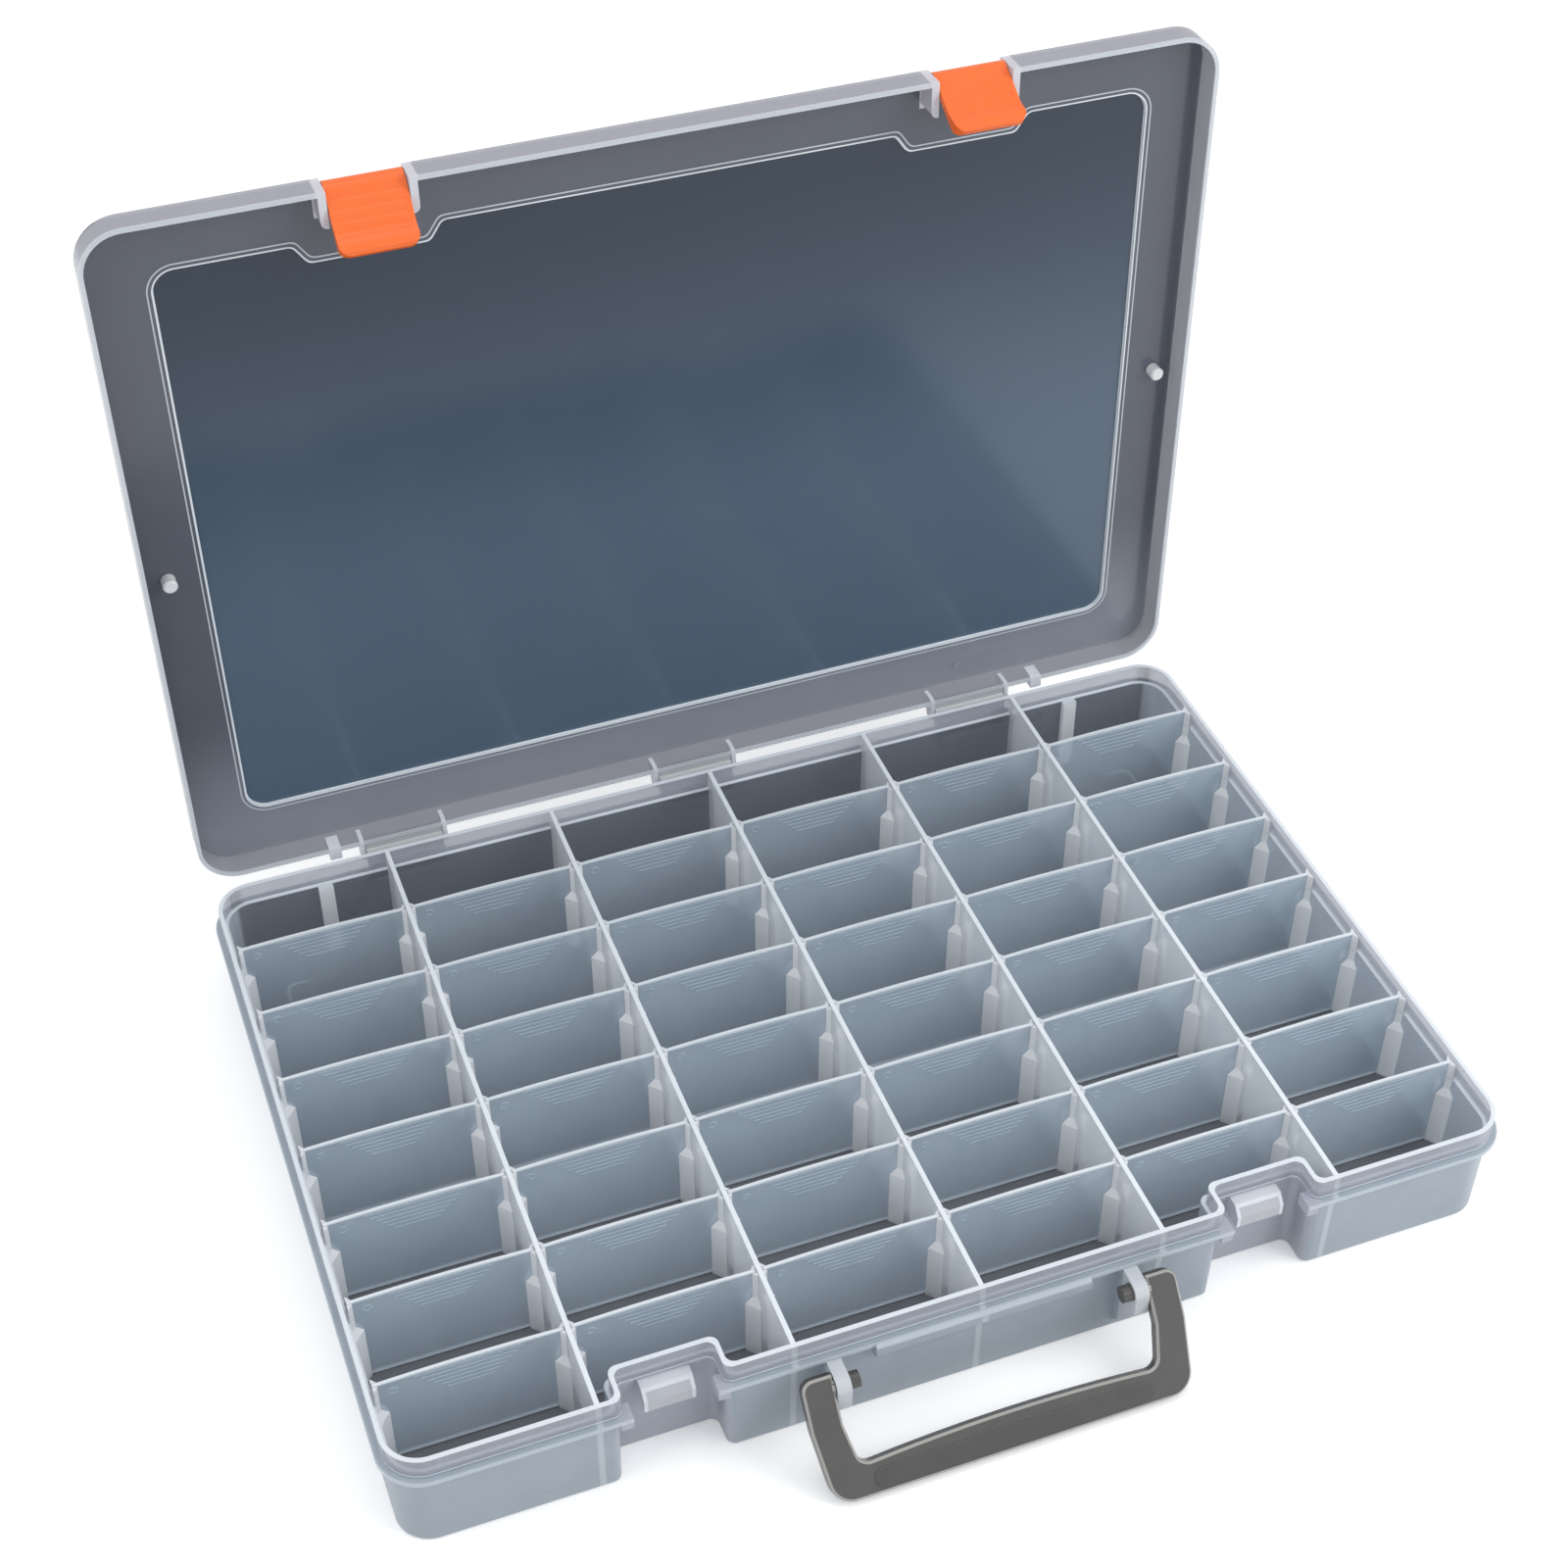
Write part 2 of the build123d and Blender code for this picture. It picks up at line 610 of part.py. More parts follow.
def handle():
    """The bail handle with its two pins, lying forward on the surface."""
    body = extrude(handle_plan(), amount=handle_thick / 2, both=True)
    faces = body.faces().sort_by(Axis.Z)
    body = chamfer(faces[-1].edges() + faces[0].edges(), handle_edge_bevel)
    middle = -(handle_reach - handle_pad_inset - handle_pad_width / 2)
    pad = RectangleRounded(2 * handle_pad_half, handle_pad_width, handle_pad_width / 2 - 0.3)
    body += Pos(0, middle, handle_thick / 2) * extrude(pad, amount=handle_pad_raise)
    for side in (-1, 1):
        inner, outer = sorted((side * (bracket_inner - handle_pin_stub), side * (arm_inner + 1)))
        body += rod(0, 0, handle_pin / 2, inner, outer)
    return Pos(0, handle_y, handle_pin_up) * Rot(handle_rest_angle(), 0, 0) * body


def save(shape, name):
    """Writes one piece."""
    export_step(shape, f"parts/{name}.step")


def main():
    os.makedirs("parts", exist_ok=True)
    save(tray(), "tray")
    for i, x in enumerate(long_wall_centres):
        save(long_wall(x), f"long_wall_{i + 1}")
    for i, x in enumerate(column_centres):
        for j, y in enumerate(divider_rows):
            save(divider(x, y), f"divider_{i + 1}_{j + 1}")
    save(lid(), "lid")
    save(latch(-1), "latch_left")
    save(latch(1), "latch_right")
    save(handle(), "handle")
    print("hinge axis", round(hinge_y, 3), round(hinge_z, 3))
    print("latch axis, lid closed", round(latch_y, 3), round(latch_z, 3))
    pin = Vector(0, latch_y - hinge_y, latch_z - hinge_z).rotate(Axis.X, -open_angle)
    print("latch axis, lid open", round(hinge_y + pin.Y, 3), round(hinge_z + pin.Z, 3))
    print("handle axis", round(handle_y, 3), handle_pin_up)
    print("handle rest angle", round(handle_rest_angle(), 3))


main()
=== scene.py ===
"""Parts organizer: a moulded case with a hinged lid, lift-out dividers, two latches and a handle."""

import json
import logging
import math
from dataclasses import dataclass, field
from enum import Enum
from typing import Any

import bpy
from mathutils import Matrix, Vector


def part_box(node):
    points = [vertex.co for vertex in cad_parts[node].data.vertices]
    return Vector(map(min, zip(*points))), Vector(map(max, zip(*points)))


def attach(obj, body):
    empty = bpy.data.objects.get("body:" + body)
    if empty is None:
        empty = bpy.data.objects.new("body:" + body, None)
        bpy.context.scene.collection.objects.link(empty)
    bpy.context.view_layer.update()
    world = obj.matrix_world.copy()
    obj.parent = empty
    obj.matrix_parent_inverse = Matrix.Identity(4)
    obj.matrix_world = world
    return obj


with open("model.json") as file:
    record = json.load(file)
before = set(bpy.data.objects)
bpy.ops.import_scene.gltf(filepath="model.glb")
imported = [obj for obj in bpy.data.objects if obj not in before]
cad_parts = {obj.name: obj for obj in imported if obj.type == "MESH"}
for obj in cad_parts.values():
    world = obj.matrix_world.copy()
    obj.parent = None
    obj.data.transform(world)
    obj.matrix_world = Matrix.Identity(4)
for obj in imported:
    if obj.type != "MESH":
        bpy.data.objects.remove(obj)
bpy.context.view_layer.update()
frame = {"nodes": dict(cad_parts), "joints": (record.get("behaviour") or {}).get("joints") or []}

log = logging.getLogger("parts_organizer")

MM = 0.001
HAIR = 0.1  # how far a mask keeps from a face, in millimetres
MATH = "ShaderNodeMath"
MIX = "ShaderNodeMix"
RANGE = "ShaderNodeMapRange"
VECTOR = "ShaderNodeVectorMath"
Socket = bpy.types.NodeSocket
Nodes = dict[str, bpy.types.Object]


class Tone(Enum):
    """Colours of the moulded plastics, of their painted shade, reflection and highlights, and of the studio,
    as sRGB hex.
    """

    WALL = "#bcc6cf"
    WALL_CLOUD = "#aeb8c2"
    BAND = "#bfc0cb"
    RECESS = "#c3c5d0"
    BACK_WALL_SHADE = "#6c737e"
    EDGE_HIGHLIGHT = "#e4eaef"
    POST = "#ffffff"
    COMPARTMENT_FLOOR_SHADE = "#74777c"
    LONG_WALL = "#f7f9fb"
    LONG_WALL_CLOUD = "#e9eef2"
    DIVIDER = "#dfebf5"
    DIVIDER_CLOUD = "#d3e1ec"
    LID_BORDER = "#575b66"
    LID_BORDER_CLOUD = "#525662"
    LID_SKIRT = "#aaaab3"
    LID_HINGE_SIDE = "#898e99"
    LID_WINDOW_SHADE = "#172b3f"
    LID_WINDOW_REFLECTION = "#506173"
    LID_EAR = "#dcd8e0"
    CATCH = "#b4b6bc"
    HINGE_BLOCK = "#c8cccc"
    LATCH = "#f36e29"
    LATCH_CLOUD = "#ec6622"
    HANDLE = "#434140"
    HANDLE_CLOUD = "#4d4b4a"
    HANDLE_HIGHLIGHT = "#a8a6a1"
    MOULD_SHADE = "#dde1e8"
    STUDIO_FLOOR = "#f0f0f0"
    STUDIO_WHITE = "#ffffff"
    STUDIO_AIR = "#f2f4f6"


def to_linear(tone: Tone) -> tuple[float, float, float, float]:
    """Turn an sRGB hex colour to the linear colour that shaders take.

    Args:
        tone: the named colour.

    Returns:
        Red, green, blue and an alpha of 1.
    """
    digits = tone.value.lstrip("#")
    channels = [int(digits[start:start + 2], 16) / 255 for start in (0, 2, 4)]
    red, green, blue = (share / 12.92 if share <= 0.04045 else ((share + 0.055) / 1.055) ** 2.4
                        for share in channels)
    return (red, green, blue, 1.0)


def add_node(tree: bpy.types.NodeTree, kind: str, inputs: Any = (), out: int = 0,
             **settings: Any) -> Socket | None:
    """Add one node with its settings and everything that goes into it.

    Args:
        tree: the node tree that gets the node.
        kind: the node's type name.
        inputs: numbers, tones or sockets, in order, or by the input's name or number.
        out: which output is wanted.
        settings: properties of the node itself.

    Returns:
        The wanted output, or nothing where the node has none.
    """
    node = tree.nodes.new(kind)
    for name, value in settings.items():
        setattr(node, name, value)
    for key, value in inputs.items() if isinstance(inputs, dict) else enumerate(inputs):
        if isinstance(value, bpy.types.NodeSocket):
            tree.links.new(value, node.inputs[key])
        else:
            node.inputs[key].default_value = to_linear(value) if isinstance(value, Tone) else value
    return node.outputs[out] if node.outputs else None


class Surface:
    """A material being made: its tree, its place on the part in millimetres, and its colour so far."""

    # Uneven cooling shades a moulding in broad patches, and wear on the mould dulls smaller ones.
    shade_patch: float = 34.0
    shade_share: float = 0.35
    sheen_patch: float = 22.0
    bump_strength: float = 0.6
    grain_detail: float = 2.0

    def __init__(self, name: str, turn: float = 0.0, about: tuple[float, ...] = (0.0, 0.0, 0.0)) -> None:
        """Start an empty material whose patterns may be turned about a hinge.

        Args:
            name: the material's name.
            turn: degrees about X that bring the pattern back to the closed part.
            about: the hinge that it turns about, in metres.
        """
        self.material = bpy.data.materials.new(name)
        self.material.use_nodes = True
        self.tree = self.material.node_tree
        self.tree.nodes.clear()
        centre = Vector(about)
        shift = centre - Matrix.Rotation(math.radians(turn), 3, "X") @ centre
        where = add_node(self.tree, "ShaderNodeTexCoord", out=3)
        turned = add_node(self.tree, "ShaderNodeMapping",
                          {0: where, "Location": shift, "Rotation": (math.radians(turn), 0, 0)})
        self.place = add_node(self.tree, VECTOR, {0: turned, "Scale": 1 / MM}, operation="SCALE")
        self.x, self.y, self.z = add_node(self.tree, "ShaderNodeSeparateXYZ", (self.place,)).node.outputs
        self.across, self.along = self.off(self.x, 0.0), self.off(self.y, 0.0)
        self.colour: Socket | None = None

    def off(self, value: Socket, centre: float) -> Socket:
        """Measure how far a value is from a centre, on either side."""
        return add_node(self.tree, MATH, (add_node(self.tree, MATH, (value, centre), operation="SUBTRACT"),),
                        operation="ABSOLUTE")

    def beyond(self, half: tuple[float, float], radius: float, middle_y: float = 0.0) -> Socket:
        """Measure how far a point lies outside a rounded rectangle seen from above, in millimetres.

        Args:
            half: half its size across and along.
            radius: its corners' radius.
            middle_y: where its middle is along Y.

        Returns:
            The distance, negative inside.
        """
        dx = add_node(self.tree, MATH, (self.across, half[0] - radius), operation="SUBTRACT")
        dy = add_node(self.tree, MATH, (self.off(self.y, middle_y), half[1] - radius), operation="SUBTRACT")
        apart = add_node(self.tree, "ShaderNodeCombineXYZ", (dx, dy))
        outside = add_node(self.tree, VECTOR, (apart, (0, 0, 0)), operation="MAXIMUM")
        round_part = add_node(self.tree, VECTOR, (outside,), 1, operation="LENGTH")
        flat_part = add_node(self.tree, MATH, (self.either(dx, dy), 0.0), operation="MINIMUM")
        return add_node(self.tree, MATH, (add_node(self.tree, MATH, (round_part, flat_part)), radius),
                        operation="SUBTRACT")

    def where(self, *limits: Any, soft: float = 0.2) -> Socket:
        """Mark where every mask holds and every value lies between its limits.

        Args:
            limits: masks, or a value with its lowest and highest limit, either of them None.
            soft: how many millimetres the mask takes to rise from 0 to 1, inwards from each limit.

        Returns:
            The mask, from 0 to 1.
        """
        found: list[Socket] = []
        for limit in limits:
            if not isinstance(limit, tuple):
                found.append(limit)
                continue
            value, low, high = limit
            for start, end in ((low, soft), (high, -soft)):
                if start is not None:
                    found.append(add_node(self.tree, RANGE, (value, start, start + end),
                                          interpolation_type="SMOOTHSTEP"))
        mask = found[0]
        for other in found[1:]:
            mask = add_node(self.tree, MATH, (mask, other), operation="MULTIPLY")
        return mask

    def either(self, *masks: Socket) -> Socket:
        """Join masks, so that the highest holds at each point."""
        joined = masks[0]
        for other in masks[1:]:
            joined = add_node(self.tree, MATH, (joined, other), operation="MAXIMUM")
        return joined

    def level(self, mask: Socket, low: float, high: float) -> Socket:
        """Turn a mask to a value that is low where the mask is 0 and high where it is 1."""
        return add_node(self.tree, RANGE, {"Value": mask, "To Min": low, "To Max": high})

    def grain(self, millimetres: float) -> Socket:
        """Lay an uneven pattern with patches of about this size, from 0 to 1."""
        return add_node(self.tree, "ShaderNodeTexNoise",
                        {"Vector": self.place, "Scale": 1 / millimetres, "Detail": self.grain_detail})

    def clouds(self, millimetres: float, tone: Tone, cloud: Tone) -> None:
        """Colour the surface in two tones that run into each other in soft patches.

        Args:
            millimetres: size of a patch.
            tone: the main colour.
            cloud: the colour of the patches.
        """
        self.colour = add_node(self.tree, MIX, {0: self.grain(millimetres), 6: tone, 7: cloud}, 2,
                               data_type="RGBA")

    def paint(self, tone: Tone, mask: Socket, share: float = 1.0) -> None:
        """Lay one tone over the colour so far.

        Args:
            tone: the new colour.
            mask: where it goes.
            share: how much of it covers.
        """
        amount = mask if share == 1.0 else self.level(mask, 0.0, share)
        self.colour = add_node(self.tree, MIX, {0: amount, 6: self.colour, 7: tone}, 2, data_type="RGBA")

    def finish(self, opacity: Socket | None, glow: Socket | None, roughness: tuple[float, float], ior: float,
               relief: tuple[float, float]) -> bpy.types.Material:
        """Close the material with its shaders.

        Args:
            opacity: how much of the light a wall stops, or None for a solid colour.
            glow: share of the stopped light that comes out on the far side, scattered, or None.
            roughness: surface roughness, in the polished and in the duller patches of the mould.
            ior: index of refraction.
            relief: size of the mould's texture and its height, in millimetres.

        Returns:
            The finished material.
        """
        shade = self.level(self.grain(self.shade_patch), 0.0, self.shade_share)
        self.colour = add_node(self.tree, MIX, {0: shade, 6: self.colour, 7: Tone.MOULD_SHADE}, 2,
                               data_type="RGBA", blend_type="MULTIPLY")
        size, height = relief
        bump = add_node(self.tree, "ShaderNodeBump",
                        {"Strength": self.bump_strength, "Distance": height * MM, "Height": self.grain(size)})
        sheen = self.level(self.grain(self.sheen_patch), *roughness)
        inputs = {"Base Color": self.colour, "Roughness": sheen, "IOR": ior, "Normal": bump}
        if opacity is not None and glow is None:
            inputs["Alpha"] = opacity
        surface = add_node(self.tree, "ShaderNodeBsdfPrincipled", inputs)
        if opacity is not None and glow is not None:
            milk = add_node(self.tree, "ShaderNodeBsdfTranslucent", {"Color": self.colour})
            clear = add_node(self.tree, "ShaderNodeBsdfTransparent")
            surface = add_node(self.tree, "ShaderNodeMixShader", (glow, surface, milk))
            surface = add_node(self.tree, "ShaderNodeMixShader", (opacity, clear, surface))
        add_node(self.tree, "ShaderNodeOutputMaterial", (surface,))
        return self.material


@dataclass(frozen=True)
class TrayPlastic:
    """Natural polypropylene, injection moulded: milky, whiter where it is thick, greyer where it is thin,
    with painted shade on the compartments' floor and inside the back wall, and painted highlights on its
    edges.
    """

    # Where the moulding's features are, in millimetres, so that the colours follow them.
    cavity: tuple[float, float] = (186.2, 126.2)
    corner_radius: float = 10.0
    floor_top: float = 4.4
    rim: float = 43.5
    rim_line: float = 0.5
    step: float = 36.0
    step_half: float = 0.4
    shelf: tuple[float, float] = (33.4, 35.2)
    shelf_start: float = 4.2
    base_line: float = 1.5
    column_pitch: float = 62.4
    seam_half: float = 1.2
    seam_end: float = 130.0
    seam_inset: float = 0.2
    post_start: float = 1.0
    post_reach: float = 4.8
    post_end: float = 106.0
    rib_reach: float = 4.0
    # Where the painted shade on the inside of the back wall starts and ends, beside the cavity's back.
    back_shade_span: tuple[float, float] = (-2.0, 1.2)
    floor_skin: tuple[float, float] = (-1.0, 0.15)
    mark_rise: tuple[float, float] = (0.2, 0.9)
    latch_offset: float = 101.0
    recess_half: float = 19.0
    recess_clear: float = 18.0
    recess_back: float = -115.8
    catch_half: float = 8.6
    catch_front: float = -116.7
    catch_z: tuple[float, float] = (26.2, 34.8)
    catch_edge: tuple[float, float] = (1.6, 1.4)
    bracket_x: float = 50.35
    bracket_half: float = 2.8
    bracket_back: float = -131.0
    hinge_start: float = 5.2
    # Size of the soft clouds in the plastic.
    cloud: float = 16.0
    long_wall_cloud: float = 14.0
    # How much light the walls stop, and how much of that comes out scattered on the far side.
    wall_opacity: float = 0.84
    band_opacity: float = 0.54
    solid_opacity: float = 0.94
    long_wall_opacity: tuple[float, float] = (0.55, 0.95)
    glow: float = 0.25
    long_wall_glow: float = 0.2
    post_glow: float = 0.4
    roughness: tuple[float, float] = (0.24, 0.36)
    ior: float = 1.49
    relief: tuple[float, float] = (3.0, 0.02)

    def beside_wall(self, skin: Surface) -> Socket:
        """Measure how far a point is from the middle of the nearest long wall, in millimetres."""
        half = self.column_pitch / 2
        return skin.off(add_node(skin.tree, MATH, (skin.x, half, -half), operation="WRAP"), 0.0)

    def walls(self, skin: Surface, beside_latch: Socket) -> Socket:
        """Colour the walls and the latch recesses, and darken the inside of the back wall with painted shade.

        Args:
            skin: the surface being made.
            beside_latch: distance from the middle of the nearest latch.

        Returns:
            The mask of the thin band above the step.
        """
        half_x, half_y = self.cavity
        # Melt that cooled unevenly leaves soft clouds a couple of centimetres across.
        skin.clouds(self.cloud, Tone.WALL, Tone.WALL_CLOUD)
        band = skin.where((skin.z, self.step - self.step_half, None), soft=0.8)
        skin.paint(Tone.BAND, band, share=0.8)
        recess = skin.where((beside_latch, None, self.recess_half), (skin.y, None, self.recess_back),
                            soft=1.0)
        skin.paint(Tone.RECESS, recess, share=0.8)
        # Painted shade: the inside of the back wall is darkened, standing in for a dark surface seen through
        # it.
        near, far = (half_y + offset for offset in self.back_shade_span)
        back = skin.where((skin.y, near, far), (skin.across, None, half_x), soft=1.0)
        skin.paint(Tone.BACK_WALL_SHADE, back)
        return band

    def compartments(self, skin: Surface, beside_latch: Socket, reach: Socket) -> tuple[Socket, Socket]:
        """Darken the compartments' floor with painted shade, and colour the slot posts and ribs that stand on
        it, with a painted highlight along their foot.

        Args:
            skin: the surface being made.
            beside_latch: distance from the middle of the nearest latch.
            reach: distance outside the cavity's outline.

        Returns:
            The mask of the floor's painted shade, and the mask of the posts and ribs.
        """
        half_x, half_y = self.cavity
        clear_of_recess = skin.either(skin.where((beside_latch, self.recess_clear, None)),
                                      skin.where((skin.y, self.recess_back, None)))
        inside = skin.where(clear_of_recess, (reach, None, -HAIR), soft=0.1)
        # The floor is the thinnest wall; its dark tone is painted shade, standing in for a dark surface under
        # the tray seen through it.
        low, high = (self.floor_top + rise for rise in self.floor_skin)
        bottom = skin.where(inside, (skin.z, low, high), soft=0.1)
        skin.paint(Tone.COMPARTMENT_FLOOR_SHADE, bottom)
        # Slot posts and ribs are thick, so the light scatters in them and they look white.
        post = skin.where((skin.across, half_x - self.post_reach, None),
                          (skin.along, None, self.post_end), soft=0.6)
        rib = skin.where((skin.y, half_y - self.rib_reach, None), soft=1.0)
        low_mark, high_mark = (self.floor_top + rise for rise in self.mark_rise)
        raised = skin.where(inside, skin.either(post, rib), (skin.z, low_mark, None))
        skin.paint(Tone.POST, raised)
        # A painted highlight runs along the foot of the walls, posts and ribs, just above the floor.
        skin.paint(Tone.EDGE_HIGHLIGHT, skin.where(inside, (skin.z, low_mark, high_mark)))
        return bottom, raised

    def fittings(self, skin: Surface, beside_latch: Socket) -> Socket:
        """Colour the latch catches, the handle's brackets and the hinge arms.

        Args:
            skin: the surface being made.
            beside_latch: distance from the middle of the nearest latch.

        Returns:
            The mask of the catches and the hinge arms.
        """
        catch = skin.where((beside_latch, None, self.catch_half), (skin.y, None, self.catch_front),
                           (skin.z, *self.catch_z), soft=0.3)
        skin.paint(Tone.CATCH, catch)
        # A painted highlight runs along the catch's side and top edges.
        side, top = self.catch_edge
        catch_rim = skin.either(skin.where((beside_latch, self.catch_half - side, None)),
                                skin.where((skin.z, self.catch_z[1] - top, None)))
        skin.paint(Tone.EDGE_HIGHLIGHT, skin.where(catch, catch_rim), share=0.7)
        bracket = skin.where((skin.off(skin.across, self.bracket_x), None, self.bracket_half),
                             (skin.y, None, self.bracket_back))
        skin.paint(Tone.POST, bracket, share=0.5)
        hinge = skin.where((skin.y, self.cavity[1] + self.hinge_start, None), soft=0.4)
        skin.paint(Tone.HINGE_BLOCK, hinge)
        return skin.either(catch, hinge)

    def edges(self, skin: Surface, reach: Socket) -> Socket:
        """Paint highlights on the edges that light runs out of: rim, step, shelf, base and the seams of the
        long walls.

        Args:
            skin: the surface being made.
            reach: distance outside the cavity's outline.

        Returns:
            The mask of the rim and the step.
        """
        rim = skin.where((skin.z, self.rim - self.rim_line, None), soft=0.4)
        line = skin.either(rim, skin.where((skin.off(skin.z, self.step), None, self.step_half), soft=0.3))
        shelf = skin.where((reach, self.shelf_start, None), (skin.z, *self.shelf))
        base = skin.where((skin.z, None, self.base_line), soft=0.3)
        seam = skin.where((self.beside_wall(skin), None, self.seam_half),
                          (skin.y, None, self.seam_inset - self.cavity[1]),
                          (skin.across, None, self.seam_end), soft=0.4)
        # Painted highlights on the rim and step, and fainter ones on the shelf, base and seams.
        skin.paint(Tone.EDGE_HIGHLIGHT, line, share=0.85)
        skin.paint(Tone.EDGE_HIGHLIGHT, skin.either(shelf, seam, base), share=0.6)
        return line

    def tray(self) -> bpy.types.Material:
        """Make the tray's plastic: clear band, milky walls, floor darkened with painted shade, white posts
        and edges with painted highlights.
        """
        skin = Surface("natural_polypropylene_tray")
        beside_latch = skin.off(skin.across, self.latch_offset)
        reach = skin.beyond(self.cavity, self.corner_radius)
        band = self.walls(skin, beside_latch)
        bottom, raised = self.compartments(skin, beside_latch, reach)
        solid = skin.either(raised, bottom, self.fittings(skin, beside_latch), self.edges(skin, reach))
        opacity = skin.either(skin.level(band, self.wall_opacity, self.band_opacity),
                              skin.level(solid, 0.0, self.solid_opacity))
        glow = skin.either(skin.level(solid, self.glow, 0.0), skin.level(raised, 0.0, self.post_glow))
        return skin.finish(opacity, glow, self.roughness, self.ior, self.relief)

    def long_wall(self) -> bpy.types.Material:
        """Make the long walls' plastic: clear wall, white slot posts, a painted highlight on the top edge."""
        skin = Surface("natural_polypropylene_long_wall")
        post = skin.where((self.beside_wall(skin), self.post_start, None), soft=0.3)
        skin.clouds(self.long_wall_cloud, Tone.LONG_WALL, Tone.LONG_WALL_CLOUD)
        skin.paint(Tone.POST, post)
        # A painted highlight along the top edge.
        line = skin.where((skin.z, self.rim - self.rim_line - HAIR, None), soft=0.4)
        skin.paint(Tone.EDGE_HIGHLIGHT, line, share=0.9)
        solid = skin.either(post, line)
        glow = skin.either(skin.level(solid, self.long_wall_glow, 0.0), skin.level(post, 0.0, self.post_glow))
        opacity = skin.level(solid, *self.long_wall_opacity)
        return skin.finish(opacity, glow, self.roughness, self.ior, self.relief)


@dataclass(frozen=True)
class DividerPlastic:
    """Natural polypropylene in thin moulded plates: bluish and milky, with painted highlights on the top and
    bottom edges.
    """

    # The plate's top and foot, and how far its painted highlight lines run from them, in millimetres.
    rim: float = 43.1
    foot: float = 5.0
    top_line: float = 0.9
    foot_line: float = 0.5
    cloud: float = 12.0
    opacity: tuple[float, float] = (0.42, 0.87)
    glow: float = 0.35
    roughness: tuple[float, float] = (0.24, 0.36)
    ior: float = 1.49
    relief: tuple[float, float] = (3.0, 0.02)

    def material(self) -> bpy.types.Material:
        """Make the dividers' plastic."""
        skin = Surface("natural_polypropylene_divider")
        # A plate fills from one gate, which leaves flow clouds about a centimetre across.
        skin.clouds(self.cloud, Tone.DIVIDER, Tone.DIVIDER_CLOUD)
        # Painted highlights along the top and the foot.
        line = skin.either(skin.where((skin.z, self.rim - self.top_line, None), soft=0.5),
                           skin.where((skin.z, None, self.foot + self.foot_line), soft=0.4))
        skin.paint(Tone.EDGE_HIGHLIGHT, line)
        opacity, glow = skin.level(line, *self.opacity), skin.level(line, self.glow, 0.0)
        return skin.finish(opacity, glow, self.roughness, self.ior, self.relief)


